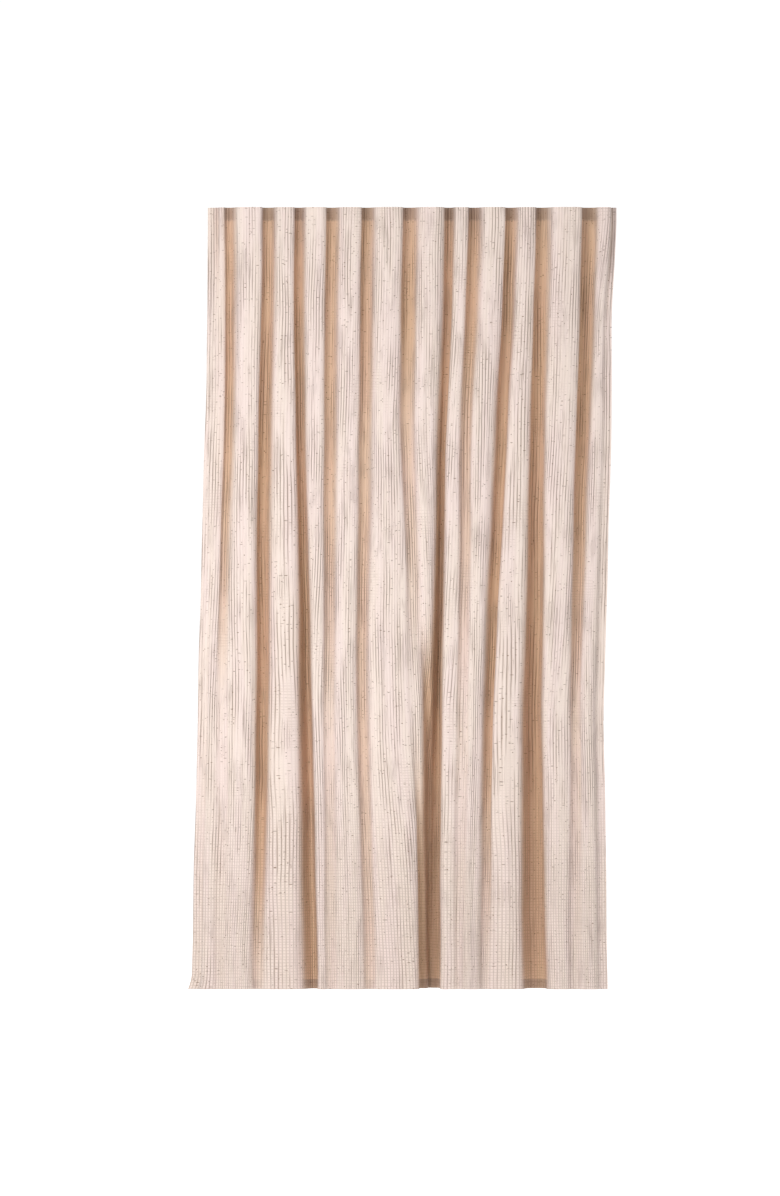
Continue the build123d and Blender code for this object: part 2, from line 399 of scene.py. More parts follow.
    def _resampled(self, path: np.ndarray, row: int) -> np.ndarray:
        """The path at the cloth's own columns.

        The crinkle gives a little, so the columns lie between even spacing and staying with their folds.

        Args:
            path: The path at this row.
            row: Which row.

        Returns:
            One point for each column.
        """
        along = run_of(path)
        even = self.hook_along / self.width
        knots = even + self.give * (self._hooks_along(path, row) - even)
        columns = np.linspace(0, 1, self.weave.columns)
        at = np.interp(columns, [0, *even, 1], [0, *knots, 1]) * along[-1]
        return np.stack([np.interp(at, along, path[:, k]) for k in (0, 1)], axis=1)

    def _normals(self) -> None:
        """The way to the back at each point, level, from the smooth path."""
        step = np.gradient(self.points[:, :, :2], axis=1)
        step /= np.linalg.norm(step, axis=2, keepdims=True)
        self.normals = np.dstack([-step[:, :, 1], step[:, :, 0], np.zeros(step.shape[:2])])

    def _painted_hollow_shade_mask(self) -> None:
        """How far each point lies behind the front folds beside it, from 0 to 1, as the mask for the painted
        shade in the hollows.
        """
        behind = (self.points[:, :, 1] - self.front[:, None]) / (46 * MM)
        x = self.points[:, :, 0]
        inside = np.minimum(x - x[:, :1], x[:, -1:] - x) / (70 * MM)
        self.painted_hollow_shade = np.clip(behind, 0, 1.6) / 1.6 * np.clip(inside, 0, 1) ** 0.7

    def _crinkle(self) -> None:
        """Moves the points along their normals by the crinkle, the soft secondary folds and the gathers."""
        w = self.weave
        rng = np.random.default_rng(w.seed + 1)
        even = 512
        cell = w.drop / even
        column = self.width / w.columns

        def field_of(tall: float, wide: float) -> np.ndarray:
            """A random field over the cloth, smooth over the given height and width in metres."""
            made = smooth_field(rng, (even, w.columns), (tall / cell, wide / column))
            rows = self.heights / w.drop * (even - 1)
            low = np.clip(rows.astype(int), 0, even - 2)
            part = (rows - low)[:, None]
            return made[low] * (1 - part) + made[low + 1] * part

        soft = field_of(0.5, 0.0052) * np.clip(0.6 + 0.6 * field_of(0.3, 0.08), 0, 1.5)
        fine = field_of(0.2, 0.0026) * np.clip(0.6 + 0.7 * field_of(0.25, 0.05), 0, 1.5)
        below = np.clip(self.heights - 0.004, 0, None)[:, None]
        gathers = field_of(0.05, 0.0032) * np.exp(-below / 0.055)
        calm = np.clip(self.heights / 0.03, 0.35, 1)[:, None]
        move = w.fine_fold * fine + w.soft_fold * soft * calm + w.gather_height * gathers * calm
        near = np.min([np.abs(self.points[:, :, 0] - hook) for hook in self.hooks], axis=0) / (14 * MM)
        move *= 1 - np.exp(-(near**2)) * np.clip(1.6 - below / 0.06, 0, 1)
        self.points = self.points + self.normals * move[:, :, None]

    def at(self, u: np.ndarray, down: np.ndarray, behind: np.ndarray) -> np.ndarray:
        """Where points of the flat cloth hang.

        Args:
            u: Distance along the width from the leading edge.
            down: Distance below the top edge.
            behind: Distance behind the cloth.

        Returns:
            One point in the frame's axes for each.
        """
        u, down, behind = np.broadcast_arrays(u, down, behind)
        column = np.clip(u / self.width * (self.weave.columns - 1), 0, self.weave.columns - 1.000001)
        row = np.interp(down, self.heights, np.arange(len(self.heights)))
        row = np.clip(row, 0, len(self.heights) - 1.000001)
        i, j = row.astype(int), column.astype(int)
        a, b = (row - i)[..., None], (column - j)[..., None]

        def mixed(grid: np.ndarray) -> np.ndarray:
            """A grid's values between its four nearest points."""
            upper = grid[i, j] * (1 - b) + grid[i, j + 1] * b
            lower = grid[i + 1, j] * (1 - b) + grid[i + 1, j + 1] * b
            return upper * (1 - a) + lower * a

        return mixed(self.points) + mixed(self.normals) * behind[..., None]

    def hook_u(self, number: int) -> float:
        """How far along the width the cloth meets a hook, counted from 0."""
        path = self.points[3, :, :]
        near = np.abs(path[:, 0] - self.hooks[number]) + 2 * np.abs(path[:, 1] - self.back)
        return float(np.argmin(near)) / (self.weave.columns - 1) * self.width


@dataclass(frozen=True)
class Finish:
    """A procedural finish: a base colour that wanders to a second one, with a bump of its own."""

    name: str
    colour: Colour
    second: Colour
    patch: float
    roughness: float
    bump: float
    grain: float
    sheen: float = 0.0
    coat: float = 0.0

    def build(self) -> bpy.types.Material:
        """Makes the material, on the piece's own Object coordinates."""
        tree = Tree(self.name, self.roughness, self.sheen, self.coat)
        where = tree.node("ShaderNodeTexCoord").outputs["Object"]
        drift = tree.noise(where, 1 / self.patch, 3.0)
        grain = tree.noise(where, 1 / self.grain, 2.0)
        tree.rough(grain, self.roughness - 0.06, self.roughness + 0.06)
        tree.bump(grain, self.bump)
        return tree.paint(tree.mix(drift, self.colour, self.second))


class Tree:
    """A material's node tree, with the few nodes that the finishes share."""

    def __init__(self, name: str, roughness: float, sheen: float, coat: float = 0.0) -> None:
        """Makes a material with the surface shader, its fixed values and the output.

        Args:
            name: The material's name.
            roughness: The shader's roughness.
            sheen: The weight of its sheen.
            coat: The weight of its coat.
        """
        self.material = bpy.data.materials.new(name)
        self.material.use_nodes = True
        self.tree = self.material.node_tree
        self.tree.nodes.clear()
        self.shader = self.node("ShaderNodeBsdfPrincipled")
        values = {
            "Roughness": roughness,
            "Sheen Weight": sheen,
            "Sheen Roughness": 0.5,
            "Coat Weight": coat,
            "Specular IOR Level": 0.3 if sheen else 0.5,
        }
        for socket, value in values.items():
            self.shader.inputs[socket].default_value = value
        out = self.node("ShaderNodeOutputMaterial")
        self.link(self.shader.outputs["BSDF"], out.inputs["Surface"])

    def node(self, kind: str, **settings: object) -> bpy.types.Node:
        """Adds a node and sets its own properties."""
        made = self.tree.nodes.new(kind)
        for key, value in settings.items():
            setattr(made, key, value)
        return made

    def link(self, out: Socket, into: Socket) -> None:
        """Links two sockets."""
        self.tree.links.new(out, into)

    def flat(self) -> Socket:
        """The coordinates on the flat cloth, in metres."""
        return self.node("ShaderNodeUVMap", uv_map=FLAT).outputs["UV"]

    def noise(self, where: Socket, scale: float, detail: float) -> Socket:
        """Adds a noise of a given scale and returns its value."""
        made = self.node("ShaderNodeTexNoise")
        made.inputs["Scale"].default_value = scale
        made.inputs["Detail"].default_value = detail
        self.link(where, made.inputs["Vector"])
        return made.outputs["Fac"]

    def cloud(self, where: Socket, across: float, down: float, detail: float) -> Socket:
        """Adds a noise that is stretched by a different amount across and down."""
        return self.noise(self.stretched(where, across, down), 1.0, detail)

    def stretched(self, where: Socket, across: float, down: float) -> Socket:
        """Scales coordinates by a different amount across and down."""
        made = self.node("ShaderNodeMapping")
        made.inputs["Scale"].default_value = (across, down, 1.0)
        self.link(where, made.inputs["Vector"])
        return made.outputs["Vector"]

    def ramp(self, value: Socket, low: float, high: float) -> Socket:
        """Spreads a range of values over 0 to 1, smoothly."""
        made = self.node("ShaderNodeMapRange", interpolation_type="SMOOTHSTEP")
        made.inputs["From Min"].default_value = low
        made.inputs["From Max"].default_value = high
        self.link(value, made.inputs["Value"])
        return made.outputs["Result"]

    def math(self, kind: str, *values: Socket | float) -> Socket:
        """Adds a sum of sockets and numbers."""
        made = self.node("ShaderNodeMath", operation=kind)
        for socket, value in zip(made.inputs, values):
            if isinstance(value, (int, float)):
                socket.default_value = value
            else:
                self.link(value, socket)
        return made.outputs["Value"]

    def times(self, first: Socket, second: Socket | float) -> Socket:
        """The product of two values."""
        return self.math("MULTIPLY", first, second)

    def plus(self, first: Socket, second: Socket | float) -> Socket:
        """The sum of two values."""
        return self.math("ADD", first, second)

    def rough(self, value: Socket, low: float, high: float) -> None:
        """Spreads a value from 0 to 1 over a range of the shader's roughness."""
        made = self.node("ShaderNodeMapRange")
        made.inputs["To Min"].default_value = low
        made.inputs["To Max"].default_value = high
        self.link(value, made.inputs["Value"])
        self.link(made.outputs["Result"], self.shader.inputs["Roughness"])

    def paint(self, colour: Socket) -> bpy.types.Material:
        """Links the base colour and hands over the material."""
        self.link(colour, self.shader.inputs["Base Color"])
        return self.material

    def mix(
        self,
        share: Socket,
        first: Socket | Colour,
        second: Socket | Colour,
        way: str = "MIX",
    ) -> Socket:
        """Mixes two colours, each a socket or a fixed colour."""
        made = self.node("ShaderNodeMix", data_type="RGBA", blend_type=way)
        self.link(share, made.inputs["Factor"])
        for socket, colour in ((made.inputs[6], first), (made.inputs[7], second)):
            if isinstance(colour, tuple):
                socket.default_value = (*colour, 1.0)
            else:
                self.link(colour, socket)
        return made.outputs[2]

    def bands(self, where: Socket, axis: str, period: float, wobble: float) -> Socket:
        """Adds soft bands of a given period along one axis."""
        made = self.node("ShaderNodeTexWave", wave_type="BANDS", bands_direction=axis, wave_profile="SIN")
        made.inputs["Scale"].default_value = 2 * math.pi / (20 * period)
        made.inputs["Distortion"].default_value = wobble
        made.inputs["Detail"].default_value = 1.0
        made.inputs["Detail Scale"].default_value = 0.6
        self.link(where, made.inputs["Vector"])
        return made.outputs["Fac"]

    def bump(self, height: Socket, distance: float) -> None:
        """Gives the shader a bump of a given height in metres."""
        made = self.node("ShaderNodeBump")
        made.inputs["Distance"].default_value = distance
        self.link(height, made.inputs["Height"])
        self.link(made.outputs["Normal"], self.shader.inputs["Normal"])


@dataclass(frozen=True)
class CrinkleCotton:
    """The curtain's cloth: cream with a pink cast, pillowed, with brown slubs; painted shade darkens its
    creases, and a warm painted shade darkens its hollows, more so in the doubled heading and hem.
    """

    name: str = "crinkled_double_cotton"
    cream: Colour = (0.83, 0.712, 0.640)
    pink: Colour = (0.83, 0.698, 0.652)
    # Painted shade: the dark of the crinkle's grooves.
    crease_shade: Colour = (0.30, 0.21, 0.15)
    # Painted shade: the warm, darker colour of the hollows' shade and bounced light, multiplied in by their
    # depth.
    painted_hollow_shade: Colour = (0.84, 0.68, 0.51)
    # Painted shade: the greyer, darker shade in the hollows where the cloth lies double, in the heading and
    # the hem.
    doubled_hollow_shade: Colour = (0.66, 0.66, 0.70)
    slub: Colour = (0.20, 0.115, 0.065)
    heading: float = 42 * MM
    hem: float = 30 * MM
    fray: float = 22 * MM
    yarn: float = 1.2 * MM
    pillow: float = 9.2 * MM
    pillow_height: float = 2.0 * MM

    def build(self, drop: float) -> bpy.types.Material:
        """Makes the material on the flat cloth's own coordinates.

        Args:
            drop: The cloth's length, in metres.

        Returns:
            The material.
        """
        tree = Tree(self.name, 0.9, 0.15)
        flat = tree.flat()
        split = tree.node("ShaderNodeSeparateXYZ")
        tree.link(flat, split.inputs["Vector"])
        up = split.outputs["Y"]

        streaks = tree.ramp(tree.cloud(flat, 22, 2.2, 3.0), 0.38, 0.64)
        colour = tree.mix(streaks, self.cream, self.pink)
        uneven = tree.ramp(tree.cloud(flat, 70, 6, 4.0), 0.3, 0.75)
        colour = tree.mix(tree.times(uneven, 0.12), colour, (0.66, 0.56, 0.49), "MULTIPLY")

        pillow, crease_shade = self._pillows(tree, flat, split.outputs["X"], up, drop)
        # Painted shade: the crinkle's grooves darkened in the colour, on top of their bump.
        colour = tree.mix(tree.times(crease_shade, 0.80), colour, self.crease_shade, "MULTIPLY")

        # Painted shade: the hollows are darkened and warmed by how far each place lies behind the front
        # folds.
        painted_hollow_shade = tree.node("ShaderNodeAttribute", attribute_name="painted_hollow_shade").outputs["Fac"]
        painted_shade_depth = tree.ramp(painted_hollow_shade, 0.10, 0.75)
        colour = tree.mix(painted_shade_depth, colour, self.painted_hollow_shade, "MULTIPLY")
        # Painted shade: in the heading and the hem, where the cloth lies double, the hollows are darker and
        # greyer still; the edge of the doubled band wanders.
        edge = tree.times(tree.cloud(flat, 130, 20, 3.0), self.fray)
        base = drop - self.heading + 0.5 * self.fray
        in_heading = tree.ramp(tree.plus(up, edge), base - 0.004, base + 0.006)
        colour = tree.mix(tree.times(in_heading, painted_shade_depth), colour, self.doubled_hollow_shade, "MULTIPLY")
        in_hem = tree.ramp(up, self.hem + 0.002, self.hem - 0.002)
        colour = tree.mix(tree.times(in_hem, painted_shade_depth), colour, self.doubled_hollow_shade, "MULTIPLY")
        colour = self._slubs(tree, flat, colour)
        hair = tree.cloud(flat, 900, 900, 2.0)
        warp, weft = (tree.bands(flat, axis, self.yarn, 0.4) for axis in "XY")
        weave = tree.math("MAXIMUM", warp, weft)
        fine = tree.plus(tree.times(weave, 0.06), tree.times(hair, 0.06))
        tree.bump(tree.plus(fine, pillow), self.pillow_height)
        tree.rough(hair, 0.82, 0.97)
        return tree.paint(colour)

    def _pillows(
        self,
        tree: Tree,
        flat: Socket,
        across: Socket,
        up: Socket,
        drop: float,
    ) -> tuple[Socket, Socket]:
        """Adds the pillows of the double weave.

        Args:
            tree: The material's tree.
            flat: The flat cloth's coordinates.
            across: Their part along the width.
            up: Their part up the drop.
            drop: The cloth's length, in metres.

        Returns:
            The height of the pillows and how far into a crease each place is, both from 0 to 1; the second
            also sets the painted crease shade.
        """
        coarse = self._grooves(tree, flat, across, self.pillow, (13, 2.4), 1.7)
        close = self._grooves(tree, flat, across, 0.55 * self.pillow, (21, 3.6), 2.3)
        sway = tree.cloud(flat, 7, 26, 2.0)
        step = tree.plus(tree.math("DIVIDE", up, self.pillow), tree.times(sway, 1.6))
        row = tree.math("ABSOLUTE", tree.math("SINE", tree.times(step, math.pi)))
        tall = tree.ramp(tree.cloud(flat, 26, 3.4, 4.0), 0.40, 0.62)
        tall = tree.plus(tree.times(tall, 0.86), 0.14)
        slight = tree.ramp(tree.cloud(flat, 33, 8.0, 4.0), 0.48, 0.70)
        patch = tree.ramp(tree.cloud(flat, 9, 5, 3.0), 0.50, 0.68)
        low = tree.ramp(up, 0.36 * drop, 0.10 * drop)
        tall = tree.math("MAXIMUM", tall, tree.times(low, 0.62))
        crossed = tree.math("MAXIMUM", tree.times(low, 0.42), tree.times(patch, 0.3))
        groove = tree.math("MAXIMUM", tree.times(coarse, tall), tree.times(close, tree.times(slight, 0.7)))
        dip = tree.times(tree.math("POWER", tree.math("SUBTRACT", 1.0, row), 1.8), crossed)
        crease_shade = tree.math("MAXIMUM", groove, dip)
        return tree.math("SUBTRACT", 1.0, crease_shade), crease_shade

    @staticmethod
    def _grooves(
        tree: Tree,
        flat: Socket,
        across: Socket,
        period: float,
        stretch: tuple[float, float],
        swing: float,
    ) -> Socket:
        """Adds narrow grooves that run down the cloth and wander sideways.

        Args:
            tree: The material's tree.
            flat: The flat cloth's coordinates.
            across: Their part along the width.
            period: From one groove to the next, in metres.
            stretch: How fast the wander changes across and down the cloth.
            swing: How many periods they wander.

        Returns:
            How far into a groove each place is, from 0 to 1.
        """
        wander = tree.cloud(flat, *stretch, 3.0)
        ridge = tree.plus(tree.math("DIVIDE", across, period), tree.times(wander, swing))
        column = tree.math("ABSOLUTE", tree.math("SINE", tree.times(ridge, math.pi)))
        return tree.math("POWER", tree.math("SUBTRACT", 1.0, column), 2.0)

    def _slubs(self, tree: Tree, flat: Socket, colour: Socket) -> Socket:
        """Adds the brown slubs: short dashes of weft and small dots, each in a few cells only.

        Args:
            tree: The material's tree.
            flat: The flat cloth's coordinates.
            colour: The cloth's colour without slubs.

        Returns:
            The colour with slubs.
        """
        kinds = ((85.0, 360.0, 0.972, 0.40), (140.0, 300.0, 0.978, 0.42), (260.0, 240.0, 0.980, 0.44))
        for across, down, rare, shape in kinds:
            cells = tree.node("ShaderNodeTexVoronoi", feature="F1")
            cells.inputs["Scale"].default_value = 1.0
            cells.inputs["Randomness"].default_value = 0.9
            tree.link(tree.stretched(flat, across, down), cells.inputs["Vector"])
            chance = tree.node("ShaderNodeSeparateColor")
            tree.link(cells.outputs["Color"], chance.inputs["Color"])
            chosen = tree.math("GREATER_THAN", chance.outputs["Red"], rare)
            frayed = tree.times(tree.cloud(flat, 700, 1500, 2.0), 0.3)
            reach = tree.plus(cells.outputs["Distance"], frayed)
            spot = tree.ramp(reach, shape + 0.28, shape + 0.02)
            strength = tree.plus(tree.times(chance.outputs["Green"], 0.65), 0.25)
            fleck = tree.times(tree.times(chosen, spot), strength)
            colour = tree.mix(fleck, colour, self.slub)
        return colour


@dataclass(frozen=True)
class WovenTape:
    """The heading tape's weave: a herringbone of off-white cotton with a corded edge, with painted shade in
    the weave's low yarns and random wear.
    """

    name: str = "heading_tape_weave"
    light: Colour = (0.80, 0.77, 0.70)
    dark: Colour = (0.58, 0.54, 0.47)
    rib: float = 1.9 * MM

    def build(self) -> bpy.types.Material:
        """Makes the material on the tape's flat coordinates."""
        tree = Tree(self.name, 0.85, 0.15)
        flat = tree.flat()
        across = tree.bands(flat, "X", self.rib, 0.3)
        along = tree.bands(flat, "Y", self.rib * 0.6, 0.3)
        weave = tree.times(across, along)
        wear = tree.cloud(flat, 40, 40, 3.0)
        # Partly painted shade: the weave's low yarns are darker, on the same bands as its bump; the wear
        # cloud is random tone.
        tone = tree.plus(tree.times(weave, 0.6), tree.times(wear, 0.5))
        tree.bump(weave, 0.35 * MM)
        return tree.paint(tree.mix(tree.ramp(tone, 0.2, 0.8), self.dark, self.light))


@dataclass(frozen=True)
class TwistedCord:
    """The draw cords: two-ply twist shown by diagonal bands along the cord, with painted shade in the
    grooves between the plies.
    """

    name: str = "draw_cord_twist"
    light: Colour = (0.86, 0.84, 0.79)
    dark: Colour = (0.55, 0.52, 0.46)

    def build(self) -> bpy.types.Material:
        """Makes the material on the cord's length and girth."""
        tree = Tree(self.name, 0.8, 0.1)
        twist = tree.bands(tree.stretched(tree.flat(), 1.0, 0.6), "DIAGONAL", 1.6 * MM, 0.1)
        # Painted shade: the twist's grooves are darker in the colour, on the same bands as its bump.
        tree.bump(twist, 0.3 * MM)
        return tree.paint(tree.mix(twist, self.dark, self.light))


def finishes(drop: float) -> dict[str, bpy.types.Material]:
    """Makes every finish of the curtain once.

    Args:
        drop: The cloth's length, in metres.

    Returns:
        The finishes by the record's material slots.
    """
    thread = Finish(
        "sewing_thread", (0.78, 0.68, 0.60), (0.66, 0.56, 0.49), 4 * MM, 0.6, 0.08 * MM, 0.4 * MM, 0.2
    )
    nylon = Finish(
        "moulded_nylon", (0.84, 0.83, 0.79), (0.78, 0.76, 0.71), 9 * MM, 0.36, 0.04 * MM, 1.2 * MM, coat=0.1
    )
    satin = Finish(
        "label_satin", (0.88, 0.87, 0.84), (0.80, 0.78, 0.74), 12 * MM, 0.45, 0.06 * MM, 0.5 * MM, 0.3
    )
    return {
        "curtain_cloth": CrinkleCotton().build(drop),
        "heading_tape": WovenTape().build(),
        "draw_cord": TwistedCord().build(),
        "sewing_thread": thread.build(),
        "hook_plastic": nylon.build(),
        "label": satin.build(),
    }


class Shop:
    """What every sewn piece needs: the hung cloth, the finishes and how far the panel draws back."""

    def __init__(self, cloth: HangingCloth, keep: float) -> None:
        """Keeps what the sub-assemblies share."""
        self.cloth = cloth
        self.finishes = finishes(cloth.weave.drop)
        self.keep = keep

    def sewn(self, piece: Piece, slot: str, *nodes: str) -> Piece:
        """Dresses a soft piece and attaches it to the wall end.

        Args:
            piece: The piece, whose mesh is final.
            slot: The record's material slot, which also tells its finish.
            nodes: The CAD nodes that it stands for.

        Returns:
            The same piece.
        """
        piece.data.materials.clear()
        piece.data.materials.append(self.finishes[slot])
        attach(piece, ROOT)
        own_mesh(piece)
        if nodes:
            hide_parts(*nodes)
        log.info("%s: %d faces, gathers with the panel", piece.name, len(piece.data.polygons))
        return piece

    def moulded(self, piece: Piece, slot: str, body: str, node: str) -> Piece:
        """Dresses a piece that rides with one hook and stands for one CAD node."""
        piece.data.materials.append(self.finishes[slot])
        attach(piece, body)
        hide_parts(node)
        return piece

    def band(self, name: str, u: np.ndarray, profile: list[tuple[float, float]]) -> Piece:
        """Makes a band that runs along the width, with a profile of height and distance behind the cloth."""
        line = np.array(profile)
        points = self.cloth.at(u[None, :], line[:, :1], line[:, 1:])
        return grid_piece(name, points, u, -run_of(line))

    def edging(self, name: str, down: np.ndarray, profile: list[tuple[float, float]]) -> Piece:
        """Makes a band that runs down the drop, with a profile of width and distance behind the cloth."""
        line = np.array(profile)
        points = self.cloth.at(line[None, :, 0], down[:, None], line[None, :, 1])
        return grid_piece(name, points, run_of(line), -down)


@dataclass
class Panel:
    """The double cloth itself: a face sheet and, just behind it, a back sheet."""

    shop: Shop
    between: float = 0.7 * MM

    def back(self) -> Piece:
        """Makes the back sheet, which is the plain side of the double weave."""
        cloth = self.shop.cloth
        u = np.linspace(0, cloth.width, cloth.weave.columns // 2)
        points = cloth.at(u[None, :], cloth.heights[:, None], np.array(self.between))
        piece = grid_piece("curtain_cloth_back", points, u, cloth.weave.drop - cloth.heights)
        return self.shop.sewn(piece, "curtain_cloth")

    def build(self) -> Piece:
        """Makes the face sheet, with how deep each place lies in a hollow as the mask for the painted hollow
        shade.
        """
        cloth = self.shop.cloth
        u = np.linspace(0, cloth.width, cloth.weave.columns)
        piece = grid_piece("curtain_cloth", cloth.points, u, cloth.weave.drop - cloth.heights)
        # The mask for the painted shade in the hollows.
        layer = piece.data.attributes.new("painted_hollow_shade", "FLOAT", "POINT")
        layer.data.foreach_set("value", cloth.painted_hollow_shade.astype(np.float32).ravel())
        folds = [f"cloth_fold_{i + 1:02d}" for i in range(len(cloth.hooks))]
        return self.shop.sewn(piece, "curtain_cloth", *folds)


@dataclass
class Hems:
    """The hems, all turned to the back and closed round the cloth's own edges."""

    shop: Shop
    header: float = 42 * MM
    bottom: float = 30 * MM
    side: float = 18 * MM
    near: float = 1.2 * MM
    far: float = 2.4 * MM

    def build(self) -> list[Piece]:
        """Makes the four hems."""
        cloth, drop = self.shop.cloth, self.shop.cloth.weave.drop
        u = np.linspace(0, cloth.width, cloth.weave.columns)
        turn = (self.near + self.far) / 2
        thin = self.far * 0.85
        header = [(0.0, 0.0), (-0.5 * MM, 0.4 * MM), (-0.7 * MM, turn * 0.6), (-0.4 * MM, turn)]
        header += [(0.6 * MM, thin)]
        header += [(x, thin) for x in np.linspace(6 * MM, self.header - 1 * MM, 5)]
        header += [(self.header, turn), (self.header - 1.2 * MM, self.near * 0.7)]
        hem = [(drop, 0.0), (drop + 0.5 * MM, 0.5 * MM), (drop + 0.6 * MM, turn)]
        hem += [(drop - 0.2 * MM, self.far)]
        hem += [(drop - x, self.far) for x in np.linspace(5 * MM, self.bottom - 1 * MM, 4)]
        hem += [(drop - self.bottom, turn), (drop - self.bottom + 1.2 * MM, self.near * 0.6)]
        made = []
        for name, profile in (("header_hem", header), ("bottom_hem", hem)):
            piece = self.shop.band(f"{name}_cloth", u, profile)
            made.append(self.shop.sewn(piece, "curtain_cloth", name))
        below = cloth.heights[cloth.heights > self.header - 2 * MM]
        down = below[below < drop - self.bottom + 4 * MM]
        for side in Side:
            profile = [(0.0, 0.0), (-0.5 * MM, 0.5 * MM), (-0.5 * MM, turn), (0.4 * MM, self.far)]
            profile += [(x, self.far) for x in np.linspace(4 * MM, self.side - 1 * MM, 4)]
            profile += [(self.side, turn), (self.side - 1.2 * MM, self.near * 0.6)]
            if side is Side.FIXED:
                profile = [(cloth.width - x, y) for x, y in profile]
            name = f"{side.name.lower()}_side_hem"
            piece = self.shop.edging(f"{name}_cloth", down, profile)
            made.append(self.shop.sewn(piece, "curtain_cloth", name))
        return made


@dataclass
class Heading:
    """The heading tape with its woven pockets, its two draw cords and their knots."""

    shop: Shop
    tape_drop: float = 4 * MM
    tape_width: float = 36 * MM
    near: float = 2.7 * MM
    far: float = 3.6 * MM
    inset: float = 3 * MM
    cord: float = 0.8 * MM
    cord_margin: float = 3.2 * MM
    knot: float = 2.4 * MM
    spare_pitch: float = 26 * MM
    spare_width: float = 9 * MM
    pocket: tuple[float, float] = (19 * MM, 30 * MM)

    def build(self) -> list[Piece]:
        """Makes the tape, its spare pockets, the cords and the knots."""
        cloth = self.shop.cloth
        u = np.linspace(self.inset, cloth.width - self.inset, 900)
        low, high = self.tape_drop + self.tape_width, self.tape_drop
        rows = np.linspace(high + 0.6 * MM, low - 0.6 * MM, 7)
        profile = [(high, self.near)] + [(high, self.far - 0.2 * MM)] + [(x, self.far) for x in rows]
        profile += [(low, self.far - 0.2 * MM), (low, self.near)]
        band = self.shop.band("heading_tape_band", u, profile)
        made = [self.shop.sewn(band, "heading_tape", "heading_tape"), self.spare_pockets()]
        for level, height in (("upper", high + self.cord_margin), ("lower", low - self.cord_margin)):
            made.append(self.draw_cord(level, height))
            made += [self.knot_piece(level, height, side) for side in Side]
        return made

    def draw_cord(self, level: str, height: float) -> Piece:
        """Makes one draw cord as a tube along the back of the tape."""
        cloth = self.shop.cloth
        u = np.linspace(self.inset + 6 * MM, cloth.width - self.inset - 6 * MM, 1100)
        turns = np.linspace(0, 2 * math.pi, 11)
        centre = self.far + self.cord + 0.1 * MM
        profile = [(height - self.cord * math.sin(a), centre - self.cord * math.cos(a)) for a in turns]
        piece = self.shop.band(f"draw_cord_{level}_twist", u, profile)
        return self.shop.sewn(piece, "draw_cord", f"draw_cord_{level}")

    def knot_piece(self, level: str, height: float, side: Side) -> Piece:
        """Makes a knot as one wound turn of cord over itself, with a short tail."""
        cloth = self.shop.cloth
        u = self.inset + 4 * MM if side is Side.LEADING else cloth.width - self.inset - 4 * MM
        middle = cloth.at(np.array([u]), np.array([height]), np.array([self.far + self.knot]))[0]
        turn = np.linspace(0, 1, 64)
        angle = 2 * math.pi * 2 * turn
        swell = 1.55 * MM + 0.35 * MM * np.sin(3 * angle)
        path = np.stack(
            [side.value * (turn - 0.5) * 4.2 * MM, swell * np.cos(angle), swell * np.sin(angle)], axis=1
        )
        tail = np.linspace(0, 1, 10)[1:, None]
        hang = np.array([[side.value * 3.5 * MM, 0.6 * MM, -2.4 * MM]])
        path = np.concatenate([path, path[-1] + tail * hang])
        points, faces, flat = tube(path + middle, self.cord * 1.02, 10)
        end = side.name.lower()
        piece = mesh_piece(f"cord_knot_{level}_{end}_wound", points, faces, flat)
        return self.shop.sewn(piece, "draw_cord", f"cord_knot_{level}_{end}")

    def spare_pockets(self) -> Piece:
        """Makes the tape's spare pockets, flat woven loops between the hooks."""
        cloth = self.shop.cloth
        used = [cloth.hook_u(i) for i in range(len(cloth.hooks))]
        places = np.arange(self.spare_pitch, cloth.width - self.spare_pitch, self.spare_pitch)
        points, faces, flats, count = [], [], [], 0
        for place in places:
            if min(abs(place - x) for x in used) < self.spare_width:
                continue
            arch = np.linspace(0, math.pi, 9)
            u = place - np.cos(arch) * self.spare_width / 2
            rise = self.far + 0.05 * MM + 0.55 * MM * np.sin(arch) ** 0.6
            down = np.linspace(self.pocket[0], self.pocket[1], 5)
            made = cloth.at(u[None, :], down[:, None], rise[None, :])
            points.append(made.reshape(-1, 3))
            faces.append(grid_faces(5, 9) + count)
            flats.append(np.dstack(np.meshgrid(u, -down)).reshape(-1, 2))
            count += made.shape[0] * made.shape[1]
        parts = (np.concatenate(found) for found in (points, faces, flats))
        piece = mesh_piece("tape_spare_pockets", *parts)
        return self.shop.sewn(piece, "heading_tape")


def tube(path: np.ndarray, radius: float, sides: int) -> tuple[np.ndarray, np.ndarray, np.ndarray]:
    """A closed tube along a path.

    Args:
        path: The points of its middle line.
        radius: Its radius, rounded off at both ends.
        sides: How many sides it has.

    Returns:
        Its points, its quads, and its length and girth for the UV map.
    """
    along = np.gradient(path, axis=0)
    along /= np.linalg.norm(along, axis=1, keepdims=True)
    up = np.cross(along, np.array([0.31, 0.17, 0.93]))
    up /= np.linalg.norm(up, axis=1, keepdims=True)
    over = np.cross(along, up)
    turn = np.linspace(0, 2 * math.pi, sides + 1)[:, None, None]
    size = np.full(len(path), radius)
    size[0] = size[-1] = radius * 0.05
    ring = path + size[None, :, None] * (np.cos(turn) * up + np.sin(turn) * over)
    long = run_of(path)
    flat = np.dstack(np.meshgrid(long, turn[:, 0, 0] * radius))
    return ring.reshape(-1, 3), grid_faces(sides + 1, len(path)), flat.reshape(-1, 2)


